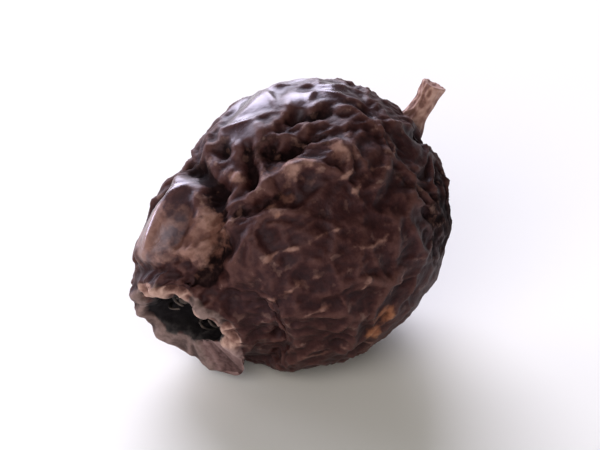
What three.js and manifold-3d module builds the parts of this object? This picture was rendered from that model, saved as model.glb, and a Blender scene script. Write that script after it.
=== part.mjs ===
// A dried hawthorn berry with a stub of its stalk, lying as it was dropped.
// It is one grown body: the shrunken skin, the open calyx crown and the stalk are one solid.
// Millimetres, +Z up. The calyx end points to -X and droops a little, and the stalk end points to +X.
// The origin is the middle of the small flat spot that the berry lies on.
import * as THREE from "three";
import Module from "manifold-3d";

const wasm = await Module();
wasm.setup();

const DEGREE = Math.PI / 180;
// Steps of this angle spread points evenly over a round body.
const GOLDEN_TURN = Math.PI * (3 - Math.sqrt(5));

// The body, an egg that is a little wider towards the stalk.
const HALF_LENGTH = 4.2;
const HALF_WIDTH = 3.7;
const FLATNESS = 0.99;
const TAPER = 0.07;
const HALVES = new THREE.Vector3(HALF_LENGTH, HALF_WIDTH, HALF_WIDTH * FLATNESS);

// How it lies: the stalk end raised, the body's middle above the floor, and ahead of the flat spot's middle.
const TILT = 15 * DEGREE;
const MIDDLE_HEIGHT = 3.46;
const MIDDLE_AHEAD = 0.25;

// Fineness of the mesh: places round the berry, and the step from ring to ring along its skin.
const SIDES = 88;
const BODY_STEP = 0.26;
const CROWN_STEP = 0.17;

// Places on the skin are given by the distance along the axis and the angle round it,
// in degrees from the top towards -Y. Each swell or hollow has a reach and a height.
const SWELLS = [
  { along: 0.1, round: -18, reach: 1.25, height: 0.1 },
  { along: 2.1, round: -14, reach: 1.0, height: 0.1 },
  { along: -3.0, round: -24, reach: 1.0, height: 0.33 },
  { along: 0.9, round: 30, reach: 0.6, height: 0.12 },
  { along: -0.8, round: 76, reach: 1.3, height: 0.1 },
  { along: -3.3, round: 196, reach: 0.8, height: 0.18 },
  { along: -1.4, round: -150, reach: 1.1, height: 0.14 },
  { along: -1.55, round: 3, reach: 0.3, height: 0.2 },
  { along: 0.6, round: -20, reach: 0.7, height: 0.08 },
  { along: 1.3, round: -5, reach: 0.4, height: 0.08 },
  { along: 2.3, round: -1, reach: 0.5, height: 0.1 },
];
const HOLLOWS = [
  { along: -0.7, round: -52, reach: 1.2, height: -0.34 },
  { along: -1.55, round: 4, reach: 0.75, height: -0.36 },
  { along: 0.4, round: 58, reach: 1.0, height: -0.14 },
  { along: 2.5, round: 52, reach: 0.9, height: -0.16 },
  { along: -2.3, round: 104, reach: 0.9, height: -0.2 },
  { along: 1.7, round: 150, reach: 1.2, height: -0.22 },
  { along: -0.6, round: -98, reach: 1.5, height: -0.45 },
  { along: 2.2, round: -64, reach: 1.1, height: -0.3 },
  { along: -2.7, round: -100, reach: 0.8, height: -0.24 },
  { along: 2.9, round: -140, reach: 1.0, height: -0.28 },
  { along: -3.4, round: -60, reach: 0.6, height: -0.28 },
  { along: -1.08, round: -13, reach: 0.27, height: -0.34 },
  { along: 1.4, round: 20, reach: 0.3, height: -0.12 },
];
// Long creases, of negative height, and folds: the places that each runs through.
const FOLDS = [
  { path: [[-1.6, -48], [-1.8, -18], [-2.1, 1], [-3.0, 23], [-3.6, 28]], reach: 0.3, height: -0.4 },
  { path: [[0.65, 3], [1.15, 7], [1.7, 8]], reach: 0.2, height: -0.26 },
  { path: [[-0.75, -1], [-1.05, 5], [-1.4, 14]], reach: 0.18, height: -0.32 },
  { path: [[-0.45, 9], [-0.1, 13], [0.6, 16]], reach: 0.24, height: -0.24 },
  { path: [[-2.2, 18], [-1.45, 25], [-0.9, 28]], reach: 0.2, height: -0.24 },
  { path: [[-1.6, 17], [-0.95, 19], [-0.3, 22], [0.3, 27], [0.9, 28]], reach: 0.2, height: 0.18 },
  { path: [[1.2, -40], [0.8, -75], [1.3, -112]], reach: 0.35, height: -0.24 },
  { path: [[-1.9, -62], [-1.6, -100], [-2.2, -142]], reach: 0.34, height: 0.18 },
  { path: [[0.2, -120], [1.4, -150], [2.6, -165]], reach: 0.32, height: -0.2 },
  { path: [[-2.3, -34], [-2.9, -38], [-3.5, -46]], reach: 0.22, height: -0.22 },
  { path: [[-2.4, -22], [-3.0, -19], [-3.5, -23]], reach: 0.38, height: 0.12 },
  { path: [[-2.5, -4], [-3.0, -3], [-3.5, 0]], reach: 0.18, height: -0.1 },
];

// The net of ridges that the drying skin is drawn up into.
const NET_MESHES = 190;
const NET_SEED = 31;
const NET_HEIGHT = 0.1;
const NET_ROUGHER = 0.12;
const RIDGE_REACH = 0.28;
const RIDGE_ROUNDING = 0.06;
const NET_LEVEL = 0.35;
const NET_SHAKE = 1.3;
// The skin is drawn aside by slow waves, so that the net isn't regular.
const DRAWN_ASIDE = 0.12;
const ASIDE_WAVES = { spacing: 1, count: 16 };
const ASIDE_SEEDS = [11, 12, 13];
// The net is rougher in places, and more so on top and at the calyx end.
const ROUGH_WAVES = { spacing: 2.2, seed: 40, count: 16 };
const ROUGH_SPAN = 1.2;
const ROUGH_UP = 1 / 3;
const ROUGH_AHEAD = -1 / 8;
// Puffed places, where the net is lower: how far it is lowered, and each place with its reach and share.
const SMOOTHING = 0.6;
const SMOOTH_SPOTS = [
  { along: -2.5, round: -21, reach: 0.45, share: 1.0 },
  { along: -3.1, round: -19, reach: 0.5, share: 1.0 },
  { along: -0.3, round: -14, reach: 0.6, share: 0.9 },
  { along: 0.6, round: -22, reach: 0.9, share: 1.0 },
  { along: 1.35, round: -5, reach: 0.55, share: 1.0 },
  { along: 2.3, round: -4, reach: 0.65, share: 1.0 },
  { along: 2.0, round: -30, reach: 1.0, share: 0.8 },
];
// Smaller wrinkles between its ridges.
const RUMPLE = { spacing: 0.8, seed: 6, count: 36, height: 0.05, rounding: 0.15, level: 0.3 };

// The calyx: the section of its pit and its lip, as distance along the axis and from it.
const PIT = [[-2.8, 0], [-2.8, 0.4], [-2.95, 0.72], [-3.35, 0.9], [-3.8, 0.96]];
const LIP = [[-4.03, 1.06], [-4.12, 1.26], [-4.02, 1.5], [-3.82, 1.66]];
const LIP_CREST = LIP[1];
const LIP_REACH = 0.34;
// How far the lip sinks between the sepals' remains, and how far a remain spreads to fill it.
const LIP_NOTCH = 0.12;
const LIP_FULL_SPREAD = 0.14;
// The crown isn't quite round, from this distance out.
const UNROUND = 0.05;
const UNROUND_FROM = 0.3;
const CROWN_ROOT = 1.68;
// The crown's plane leans and hangs. The lean dies away between these distances along and out from the axis.
const CROWN_LEAN = { y: -0.36, z: -0.2 };
const CROWN_DROP = 0.22;
const LEAN_ALONG = [-2.2, -3.4];
const LEAN_OUT = [3.2, 2.0];
// What is left of the sepals: place round the crown, half width, how far each spreads and stands up.
const SEPALS = [
  { round: -76, half: 20, spread: 0.02, rise: 0.04 },
  { round: -8, half: 18, spread: 0.14, rise: 0.16 },
  { round: 56, half: 19, spread: 0.2, rise: 0.08 },
  { round: 158, half: 27, spread: 0.94, rise: 0.02 },
  { round: 196, half: 28, spread: 0.42, rise: 0.0 },
  { round: 232, half: 20, spread: 0.08, rise: 0.03 },
];
const SEPAL_SHARPNESS = 1.2;
// A remain thickens the lip inwards too, by this share of its spread.
const SEPAL_INWARDS = 0.3;
// The dry lip is crumpled into small knobs: their places round the crown, half width and height.
const KNOBS = [-100, -64, -40, -3, 28, 48, 92, 118, 178, 222];
const KNOB_HALF = 8;
const KNOB_HEIGHT = 0.12;
// Dry ends of the styles on the floor of the pit.
const STYLES = [
  { path: [[-2.6, 0.15, 0.1], [-3.2, 0.25, 0.2], [-3.65, 0.2, 0.4]], radii: [0.2, 0.15, 0.13] },
  { path: [[-2.6, -0.3, -0.1], [-3.1, -0.38, -0.2], [-3.5, -0.52, -0.22]], radii: [0.2, 0.15, 0.12] },
];
const STYLE_SIDES = 8;
const STYLE_RINGS = 6;
// A stalk or a style isn't quite round: three low ribs that wind along it from ring to ring.
const RIBS = 3;
const RIB_HEIGHT = 0.08;
const RIB_WIND = 0.5;

// The stalk: where it sits, its route and its radius along that route.
const SEAT = [4.0, -0.15, 0.75];
const STALK_PATH = [
  [3.2, -0.1, 0.4],
  SEAT,
  [4.38, -0.18, 0.98],
  [4.72, -0.2, 1.2],
  [4.97, -0.21, 1.43],
  [5.11, -0.22, 1.56],
];
const STALK_RADII = [0.34, 0.44, 0.3, 0.28, 0.3, 0.32];
const STALK_SIDES = 14;
const STALK_RINGS = 13;
const SEAT_DIMPLE = { reach: 0.75, height: -0.16 };

// Puckers of the skin that run in to the crown and to the stalk's seat.
const CROWN_PUCKERS = { folds: 5, height: 0.11, drop: 0.05, reach: 0.7, bend: 0.7, rounding: 0.2 };
const SEAT_PUCKERS = { folds: 7, height: 0.06, out: 0.8, reach: 0.45 };
// All relief fades over these distances, out from the crown's root and out from the tip under the stalk.
const CROWN_HOLD = 0.45;
const TIP_HOLD = 0.4;

// The skin's section is drawn through places at these shares of the half length.
const FIRST_SHARE = -0.872;
const SHARE_STEP = 0.117;

// Seeded draws from 0 to 1.
function draws(seed) {
  let state = seed >>> 0;
  return () => {
    state = (state + 0x6d2b79f5) >>> 0;
    let mixed = state;
    mixed = Math.imul(mixed ^ (mixed >>> 15), mixed | 1);
    mixed ^= mixed + Math.imul(mixed ^ (mixed >>> 7), mixed | 61);
    return ((mixed ^ (mixed >>> 14)) >>> 0) / 2 ** 32;
  };
}

function smooth(low, high, value) {
  const t = Math.min(1, Math.max(0, (value - low) / (high - low)));
  return t * t * (3 - 2 * t);
}

// A random smooth field of unit size whose crests lie about the given spacing apart.
function waves({ spacing, seed, count }) {
  const draw = draws(seed);
  const list = [];
  for (let i = 0; i < count; i += 1) {
    const z = 2 * draw() - 1;
    const turn = 2 * Math.PI * draw();
    const flat = Math.sqrt(1 - z * z);
    const way = new THREE.Vector3(flat * Math.cos(turn), flat * Math.sin(turn), z);
    list.push({ way: way.multiplyScalar(Math.PI / spacing), phase: 2 * Math.PI * draw() });
  }
  return (p) => {
    const total = list.reduce((sum, wave) => sum + Math.cos(wave.way.dot(p) + wave.phase), 0);
    return total * Math.sqrt(2 / count);
  };
}

function ridged(value, rounding) {
  return 1 - Math.hypot(value, rounding);
}

// A point at a distance along the axis and from it, at an angle round it.
function roundAxis(along, out, angle) {
  return new THREE.Vector3(along, -out * Math.sin(angle), out * FLATNESS * Math.cos(angle));
}

// The plain egg's distance from its axis.
function eggRadius(along) {
  const share = along / HALF_LENGTH;
  return HALF_WIDTH * Math.sqrt(1 - share * share) * (1 + TAPER * share);
}

// A point on the plain egg, at an angle in degrees.
function onEgg(along, round) {
  return roundAxis(along, eggRadius(along), round * DEGREE);
}

// How far an angle is from a place given in degrees, from -180 to 180 degrees.
function degreesFrom(angle, round) {
  return THREE.MathUtils.euclideanModulo(angle / DEGREE - round + 180, 360) - 180;
}

// The seeds of the net's meshes, spread evenly over the egg and then shaken.
function netSeeds() {
  const draw = draws(NET_SEED);
  const seeds = [];
  for (let i = 0; i < NET_MESHES; i += 1) {
    const even = 1 - (2 * i + 1) / NET_MESHES;
    const along = Math.max(-1, Math.min(1, even + (2 * (draw() - 0.5)) / Math.sqrt(NET_MESHES)));
    const turn = i * GOLDEN_TURN + NET_SHAKE * (draw() - 0.5);
    const out = HALF_WIDTH * Math.sqrt(1 - along * along);
    seeds.push(new THREE.Vector3(HALF_LENGTH * along, out * Math.cos(turn), out * FLATNESS * Math.sin(turn)));
  }
  return seeds;
}

const seeds = netSeeds();
const asides = ASIDE_SEEDS.map((seed) => waves({ ...ASIDE_WAVES, seed }));
const smoothSpots = SMOOTH_SPOTS.map((spot) => ({ ...spot, at: onEgg(spot.along, spot.round) }));
const roughness = waves(ROUGH_WAVES);
const rumple = waves(RUMPLE);

// Share of a point of the egg in the puffed places.
function puffed(p) {
  const nearness = (spot) => Math.exp(-p.distanceToSquared(spot.at) / spot.reach ** 2);
  const shares = smoothSpots.map((spot) => spot.share * nearness(spot));
  return Math.max(...shares);
}

// Height of the ridge net at a point of the egg.
function net(p) {
  const drawn = new THREE.Vector3(...asides.map((field) => DRAWN_ASIDE * field(p))).add(p);
  let nearest = Infinity;
  let next = Infinity;
  for (const seed of seeds) {
    const far = drawn.distanceTo(seed);
    next = Math.min(next, Math.max(far, nearest));
    nearest = Math.min(nearest, far);
  }
  const ridge = Math.exp(-Math.hypot(next - nearest, RIDGE_ROUNDING) / RIDGE_REACH);
  const rough = smooth(-ROUGH_SPAN, ROUGH_SPAN, roughness(p) + ROUGH_UP * p.z + ROUGH_AHEAD * p.x);
  const fine = RUMPLE.height * (ridged(rumple(drawn), RUMPLE.rounding) - RUMPLE.level);
  const height = (NET_HEIGHT + NET_ROUGHER * rough) * (ridge - NET_LEVEL) + fine;
  return height * (1 - SMOOTHING * puffed(p));
}

// Distance from a point to a path.
function toPath(p, points) {
  const foot = new THREE.Vector3();
  const line = new THREE.Line3();
  let least = Infinity;
  for (let i = 1; i < points.length; i += 1) {
    line.set(points[i - 1], points[i]).closestPointToPoint(p, true, foot);
    least = Math.min(least, foot.distanceTo(p));
  }
  return least;
}

const lumps = [...SWELLS, ...HOLLOWS].map((lump) => ({ ...lump, at: onEgg(lump.along, lump.round) }));
const folds = FOLDS.map((fold) => ({ ...fold, points: fold.path.map((place) => onEgg(...place)) }));
const seat = new THREE.Vector3(...SEAT);

// Height of the large swells, hollows, creases and folds at a point of the egg.
function shrinking(p) {
  let height = SEAT_DIMPLE.height * Math.exp(-p.distanceToSquared(seat) / SEAT_DIMPLE.reach ** 2);
  for (const lump of lumps) {
    height += lump.height * Math.exp(-p.distanceToSquared(lump.at) / lump.reach ** 2);
  }
  for (const fold of folds) {
    height += fold.height * Math.exp(-((toPath(p, fold.points) / fold.reach) ** 2));
  }
  return height;
}

// Height of the puckers at a point of the egg, which is at a distance from the axis and an angle round it.
function puckers(p, out, angle) {
  const crown = CROWN_PUCKERS;
  const atCrown = p.x < 0 ? Math.exp(-(((out - CROWN_ROOT) / crown.reach) ** 2)) : 0;
  const bent = crown.folds * angle + crown.bend * Math.sin(2 * angle);
  const crownHeight = crown.height * ridged(Math.cos(bent), crown.rounding) - crown.drop;
  const atSeat = Math.exp(-(((p.distanceTo(seat) - SEAT_PUCKERS.out) / SEAT_PUCKERS.reach) ** 2));
  const turn = Math.atan2(p.z - seat.z, p.y - seat.y);
  const seatHeight = SEAT_PUCKERS.height * Math.cos(SEAT_PUCKERS.folds * turn + Math.sin(2 * turn));
  return atCrown * crownHeight + atSeat * seatHeight;
}

// A point of the body: the egg's own point moved out or in along its normal.
function bodyPoint(along, out, angle) {
  const p = roundAxis(along, out, angle);
  const normal = p.clone().divide(HALVES).divide(HALVES).normalize();
  const held = p.x < 0 ? smooth(0, CROWN_HOLD, out - CROWN_ROOT) : smooth(0, TIP_HOLD, out);
  const height = shrinking(p) + net(p) + puckers(p, out, angle);
  return p.addScaledVector(normal, held * height);
}

// A point of the pit or the lip, with the sepals' remains and the knobs drawn out of the lip.
function crownPoint(along, out, angle) {
  const near = Math.exp(-(((along - LIP_CREST[0]) ** 2 + (out - LIP_CREST[1]) ** 2) / LIP_REACH ** 2));
  let spread = 0;
  let rise = 0;
  for (const sepal of SEPALS) {
    const share = Math.exp(-SEPAL_SHARPNESS * (degreesFrom(angle, sepal.round) / sepal.half) ** 2);
    spread += share * sepal.spread;
    rise += share * sepal.rise;
  }
  for (const round of KNOBS) {
    rise += KNOB_HEIGHT * Math.exp(-((degreesFrom(angle, round) / KNOB_HALF) ** 2));
  }
  const between = Math.max(0, 1 - spread / LIP_FULL_SPREAD);
  const unround = out > UNROUND_FROM ? UNROUND * Math.sin(3 * angle + 1) : 0;
  const outer = smooth(LIP[0][1], LIP_CREST[1], out);
  const radius = out + near * spread * (outer - SEPAL_INWARDS * (1 - outer)) + unround;
  return roundAxis(along - near * (rise - LIP_NOTCH * between), radius, angle);
}

// Leans the crown's plane and lets it hang.
function lean(p) {
  const near = smooth(...LEAN_ALONG, p.x) * smooth(...LEAN_OUT, Math.hypot(p.y, p.z));
  p.x += near * (CROWN_LEAN.y * p.y + CROWN_LEAN.z * p.z);
  p.z -= near * CROWN_DROP;
  return p;
}

// Lays the berry down: raises its stalk end, and presses its lowest skin flat on the floor.
function lay(p) {
  const x = p.x * Math.cos(TILT) - p.z * Math.sin(TILT) + MIDDLE_AHEAD;
  const z = p.x * Math.sin(TILT) + p.z * Math.cos(TILT) + MIDDLE_HEIGHT;
  return p.set(x, p.y, Math.max(z, 0));
}

// Points along a smooth curve through a list of places, about a step apart.
function evenSteps(places, step) {
  const points = places.map(([x, y, z]) => new THREE.Vector3(x, y, z ?? 0));
  const curve = new THREE.CatmullRomCurve3(points, false, "centripetal");
  return curve.getSpacedPoints(Math.round(curve.getLength() / step));
}

// The skin's section from the crown's root to the tip under the stalk.
function bodySection() {
  const places = [];
  for (let share = FIRST_SHARE; share < 1; share += SHARE_STEP) {
    places.push([HALF_LENGTH * share, eggRadius(HALF_LENGTH * share)]);
  }
  places.push([HALF_LENGTH, 0]);
  return evenSteps(places, BODY_STEP);
}

// A closed body from rings of points, with a point at each end. Each ring turns rightwards about its way on.
function closedBody(rings) {
  const sides = rings[1].length;
  const points = rings.flat();
  const faces = [];
  const last = points.length - 1;
  const lastRing = last - sides;
  for (let j = 0; j < sides; j += 1) {
    const next = (j + 1) % sides;
    faces.push(0, 1 + next, 1 + j);
    faces.push(lastRing + j, lastRing + next, last);
  }
  for (let start = 1; start < lastRing; start += sides) {
    for (let j = 0; j < sides; j += 1) {
      const a = start + j;
      const b = start + ((j + 1) % sides);
      faces.push(a, b, b + sides, a, b + sides, a + sides);
    }
  }
  return new wasm.Manifold(
    new wasm.Mesh({
      numProp: 3,
      vertProperties: new Float32Array(points.flatMap((p) => p.toArray())),
      triVerts: new Uint32Array(faces),
    }),
  );
}

function skin() {
  const crown = evenSteps([...PIT, ...LIP], CROWN_STEP);
  const body = bodySection();
  const ring = (make, at) => {
    const points = [];
    for (let j = 0; j < SIDES; j += 1) {
      points.push(lay(lean(make(at.x, at.y, (2 * Math.PI * j) / SIDES))));
    }
    return points;
  };
  const first = lay(lean(new THREE.Vector3(PIT[0][0], 0, 0)));
  const last = lay(new THREE.Vector3(HALF_LENGTH, 0, 0));
  const crownRings = crown.slice(1).map((at) => ring(crownPoint, at));
  const bodyRings = body.slice(0, -1).map((at) => ring(bodyPoint, at));
  return closedBody([[first], ...crownRings, ...bodyRings, [last]]);
}

// A round twig of changing radius along a path, with a slightly uneven outline.
function twig(path, radii, sides, rings, place) {
  const curve = new THREE.CatmullRomCurve3(path.map((p) => new THREE.Vector3(...p)), false, "centripetal");
  const radius = new THREE.SplineCurve(radii.map((r, i) => new THREE.Vector2(i, r)));
  const list = [];
  for (let k = 0; k < rings; k += 1) {
    const share = k / (rings - 1);
    const middle = curve.getPoint(share);
    const way = curve.getTangent(share);
    const side = new THREE.Vector3(0, 0, 1).cross(way).normalize();
    const up = way.clone().cross(side);
    const size = radius.getPoint(share).y;
    const points = [];
    for (let j = 0; j < sides; j += 1) {
      const angle = (2 * Math.PI * j) / sides;
      const uneven = size * (1 + RIB_HEIGHT * Math.sin(RIBS * angle + RIB_WIND * k));
      const p = middle.clone().addScaledVector(up, uneven * Math.cos(angle));
      points.push(place(p.addScaledVector(side, -uneven * Math.sin(angle))));
    }
    list.push(points);
  }
  const start = place(curve.getPoint(0));
  const end = place(curve.getPoint(1));
  return [[start], ...list, [end]];
}

function stalk() {
  return closedBody(twig(STALK_PATH, STALK_RADII, STALK_SIDES, STALK_RINGS, lay));
}

function style({ path, radii }) {
  return closedBody(twig(path, radii, STYLE_SIDES, STYLE_RINGS, (p) => lay(lean(p))));
}

function toGeometry(solid) {
  const mesh = solid.getMesh();
  const geometry = new THREE.BufferGeometry();
  geometry.setAttribute("position", new THREE.BufferAttribute(new Float32Array(mesh.vertProperties), 3));
  geometry.setIndex(new THREE.BufferAttribute(new Uint32Array(mesh.triVerts), 1));
  return geometry;
}

let grown = skin().add(stalk());
for (const one of STYLES) {
  grown = grown.add(style(one));
}

const driedSkin = new THREE.MeshStandardMaterial({ color: 0x4a3330, roughness: 0.45, metalness: 0 });
const berry = new THREE.Mesh(toGeometry(grown), driedSkin);
berry.name = "berry";

const object = new THREE.Group();
object.add(berry);

export default object;
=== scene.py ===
"""A dried hawthorn berry with a stub of its stalk: fine skin, finishes, a floor, light and a camera."""
import math

import bpy
import numpy as np
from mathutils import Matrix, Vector


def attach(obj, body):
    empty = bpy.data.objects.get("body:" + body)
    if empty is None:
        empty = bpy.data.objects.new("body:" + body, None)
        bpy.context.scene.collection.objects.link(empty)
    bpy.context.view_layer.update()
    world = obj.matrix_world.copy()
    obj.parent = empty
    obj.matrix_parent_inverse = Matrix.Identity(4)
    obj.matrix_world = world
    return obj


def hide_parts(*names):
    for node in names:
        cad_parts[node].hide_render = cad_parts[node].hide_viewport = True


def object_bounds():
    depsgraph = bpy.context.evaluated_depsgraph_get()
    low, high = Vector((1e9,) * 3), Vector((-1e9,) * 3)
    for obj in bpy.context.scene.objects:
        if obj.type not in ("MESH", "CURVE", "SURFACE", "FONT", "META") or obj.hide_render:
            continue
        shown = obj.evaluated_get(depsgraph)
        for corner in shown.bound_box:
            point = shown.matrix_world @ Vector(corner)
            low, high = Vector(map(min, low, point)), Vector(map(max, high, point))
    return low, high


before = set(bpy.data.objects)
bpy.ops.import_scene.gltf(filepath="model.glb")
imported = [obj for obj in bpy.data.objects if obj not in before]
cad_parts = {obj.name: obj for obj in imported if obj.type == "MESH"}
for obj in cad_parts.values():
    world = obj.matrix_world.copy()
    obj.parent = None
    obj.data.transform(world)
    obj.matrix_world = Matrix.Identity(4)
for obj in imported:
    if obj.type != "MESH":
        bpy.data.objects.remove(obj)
cad_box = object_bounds()

# Shapes are worked out in millimetres and stored in metres.
MM = 0.001
# Steps of the golden angle spread points evenly over a round body.
GOLDEN_TURN = math.pi * (3 - math.sqrt(5))

# The body, an egg that is a little wider towards the stalk, which is at +X.
HALF_LENGTH = 4.2
HALF_WIDTH = 3.7
FLATNESS = 0.99
TAPER = 0.07
HALVES = np.array([HALF_LENGTH, HALF_WIDTH, HALF_WIDTH * FLATNESS])

# How it lies: the stalk end raised, the body's middle above the floor, and ahead of the flat spot's middle.
TILT = math.radians(15)
MIDDLE_HEIGHT = 3.46
MIDDLE_AHEAD = 0.25
# Grooves of the skin that the floor has not pressed out, and how fast they fade in under the berry.
LEFT_GROOVE = 0.06
PRESSED_FADE = 0.12

# Fineness of the skin's mesh: places round it, and the step from ring to ring.
SIDES = 320
BODY_STEP = 0.055
CROWN_STEP = 0.045
# The body's section is drawn through places at these shares of its half length.
FIRST_SHARE = -0.872
SHARE_STEP = 0.117
# Samples between two places of a curve before it is cut into even steps.
CURVE_SAMPLES = 60

# Places on the skin are given by the distance along the axis and the angle round it,
# in degrees from the top towards -Y. Each swell or hollow also has a reach and a height.
SWELLS = [
    (0.1, -18, 1.25, 0.1),
    (2.1, -14, 1.0, 0.1),
    (-3.0, -24, 1.0, 0.33),
    (0.9, 30, 0.6, 0.12),
    (-0.8, 76, 1.3, 0.1),
    (-3.3, 196, 0.8, 0.18),
    (-1.4, -150, 1.1, 0.14),
    (-1.55, 3, 0.3, 0.2),
    (0.6, -20, 0.7, 0.08),
    (1.3, -5, 0.4, 0.08),
    (2.3, -1, 0.5, 0.1),
]
HOLLOWS = [
    (-0.7, -52, 1.2, -0.34),
    (-1.55, 4, 0.75, -0.36),
    (0.4, 58, 1.0, -0.14),
    (2.5, 52, 0.9, -0.16),
    (-2.3, 104, 0.9, -0.2),
    (1.7, 150, 1.2, -0.22),
    (-0.6, -98, 1.5, -0.45),
    (2.2, -64, 1.1, -0.3),
    (-2.7, -100, 0.8, -0.24),
    (2.9, -140, 1.0, -0.28),
    (-3.4, -60, 0.6, -0.28),
    (-1.08, -13, 0.27, -0.34),
    (1.4, 20, 0.3, -0.12),
]
# Long creases, of negative height, and folds: the places that each runs through, its reach and its height.
FOLDS = [
    ([(-1.6, -48), (-1.8, -18), (-2.1, 1), (-3.0, 23), (-3.6, 28)], 0.3, -0.4),
    ([(0.65, 3), (1.15, 7), (1.7, 8)], 0.2, -0.26),
    ([(-0.75, -1), (-1.05, 5), (-1.4, 14)], 0.18, -0.32),
    ([(-0.45, 9), (-0.1, 13), (0.6, 16)], 0.24, -0.24),
    ([(-2.2, 18), (-1.45, 25), (-0.9, 28)], 0.2, -0.24),
    ([(-1.6, 17), (-0.95, 19), (-0.3, 22), (0.3, 27), (0.9, 28)], 0.2, 0.18),
    ([(1.2, -40), (0.8, -75), (1.3, -112)], 0.35, -0.24),
    ([(-1.9, -62), (-1.6, -100), (-2.2, -142)], 0.34, 0.18),
    ([(0.2, -120), (1.4, -150), (2.6, -165)], 0.32, -0.2),
    ([(-2.3, -34), (-2.9, -38), (-3.5, -46)], 0.22, -0.22),
    ([(-2.4, -22), (-3.0, -19), (-3.5, -23)], 0.38, 0.12),
    ([(-2.5, -4), (-3.0, -3), (-3.5, 0)], 0.18, -0.1),
]
# Thin pale veins that stand out of the smoother skin, each the places that it runs through.
VEINS = [
    [(-2.3, 86), (-1.6, 84), (-0.9, 83), (-0.3, 78)],
    [(-2.6, 48), (-1.7, 51), (-0.9, 54), (-0.4, 52)],
    [(0.5, 45), (1.1, 43), (1.9, 45), (2.5, 40)],
    [(-0.2, 66), (0.6, 70), (1.3, 66)],
    [(-2.9, 66), (-2.2, 69), (-1.5, 67)],
    [(0.2, 92), (1.0, 88), (1.8, 90)],
    [(-2.4, 122), (-1.5, 118), (-0.6, 122)],
    [(-0.6, 38), (0.1, 36), (0.7, 37)],
    [(0.9, 140), (1.7, 132), (2.5, 136)],
    [(-1.8, -84), (-0.8, -80), (0.2, -86)],
    [(0.6, -108), (1.6, -100), (2.4, -104)],
    [(-1.4, 170), (-0.4, 164), (0.6, 168)],
]
VEIN_REACH = 0.085
VEIN_HEIGHT = 0.05
VEIN_PALENESS = 0.7
VEIN_WANDER = 0.07
VEIN_WAVES = {"spacing": 0.5}
VEIN_SEEDS = (21, 22, 23)

# The net of ridges that the drying skin is drawn up into. It is rougher on top and at the calyx end.
NET = {"meshes": 190, "seed": 31, "turn": 1.3, "reach": 0.28, "rounding": 0.06, "level": 0.35}
NET_HEIGHT = 0.1
NET_ROUGHER = 0.12
DRAWN_ASIDE = 0.12
ASIDE_WAVES = {"spacing": 1, "count": 16}
ASIDE_SEEDS = (11, 12, 13)
ROUGH_WAVES = {"spacing": 2.2, "seed": 40, "count": 16}
ROUGH_SPAN = 1.2
ROUGH_UP = 1 / 3
ROUGH_AHEAD = -1 / 8
RUMPLE = {"spacing": 0.8, "seed": 6, "height": 0.05, "rounding": 0.15}

# Finer relief laid over it: a small net, then wrinkles in three sizes that are drawn out along the berry.
SMALL_NET = {"meshes": 900, "seed": 57, "turn": 1.3, "reach": 0.13, "rounding": 0.04, "level": 0.4}
SMALL_NET_HEIGHT = 0.03
SMALL_NET_ROUGHER = 0.03
DRAWN_OUT = np.array([0.6, 1, 1])
WRINKLES = [
    {"spacing": 0.45, "seed": 7, "height": 0.025, "rougher": 0.035, "rounding": 0.15},
    {"spacing": 0.24, "seed": 8, "height": 0.016, "rougher": 0.01, "rounding": 0.2},
    {"spacing": 0.14, "seed": 9, "height": 0.007, "rougher": 0.004, "rounding": 0.25},
]
WAVE_COUNT = 36
WAVE_LEVEL = 0.3

# The calyx: the section of its pit and its lip, as distance along the axis and from it.
PIT = [(-2.8, 0), (-2.8, 0.4), (-2.95, 0.72), (-3.35, 0.9), (-3.8, 0.96)]
LIP = [(-4.03, 1.06), (-4.12, 1.26), (-4.02, 1.5), (-3.82, 1.66)]
LIP_CREST = LIP[1]
LIP_REACH = 0.34
LIP_NOTCH = 0.12
LIP_FULL_SPREAD = 0.14
UNROUND = 0.05
UNROUND_FROM = 0.3
CROWN_ROOT = 1.68
CROWN_LEAN = (-0.36, -0.2)
CROWN_DROP = 0.22
LEAN_ALONG = (-2.2, -3.4)
LEAN_OUT = (3.2, 2.0)
# What is left of the sepals: place round the crown, half width, how far each spreads and stands up.
SEPALS = [
    (-76, 20, 0.02, 0.04),
    (-8, 18, 0.14, 0.16),
    (56, 19, 0.2, 0.08),
    (158, 27, 0.94, 0.02),
    (196, 28, 0.42, 0.0),
    (232, 20, 0.08, 0.03),
]
SEPAL_SHARPNESS = 1.2
# A remain thickens the lip inwards too, by this share of its spread.
SEPAL_INWARDS = 0.3
# The lip is dry, and crumpled into small knobs: their places round the crown, half width and height.
LIP_CRUMPLE = {"spacing": 0.3, "seed": 61, "height": 0.07, "rounding": 0.12}
KNOBS = [-100, -64, -40, -3, 28, 48, 92, 118, 178, 222]
KNOB_HALF = 8
KNOB_HEIGHT = 0.12

# Dry ends of the styles on the floor of the pit: a path and the radii along it.
STYLES = [
    ([(-2.6, 0.15, 0.1), (-3.2, 0.25, 0.2), (-3.65, 0.2, 0.4)], [0.2, 0.15, 0.13]),
    ([(-2.6, -0.3, -0.1), (-3.1, -0.38, -0.2), (-3.5, -0.52, -0.22)], [0.2, 0.15, 0.12]),
]
# Stubs of the stamens, rooted in a band of the pit's wall. Each runs through these shares of its length,
# forwards and outwards, so that it bends in towards the pit's middle.
STAMENS = {"count": 11, "seed": 83, "along": -3.5, "out": 0.92, "length": 0.42, "radius": 0.045}
STAMEN_STEPS = [(0, 0.12), (0.35, -0.2), (0.6, -0.65), (0.55, -1.0)]
STAMEN_BAND = 0.3
STAMEN_TWIST = 0.2
STAMEN_TAPER = 0.12

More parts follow.
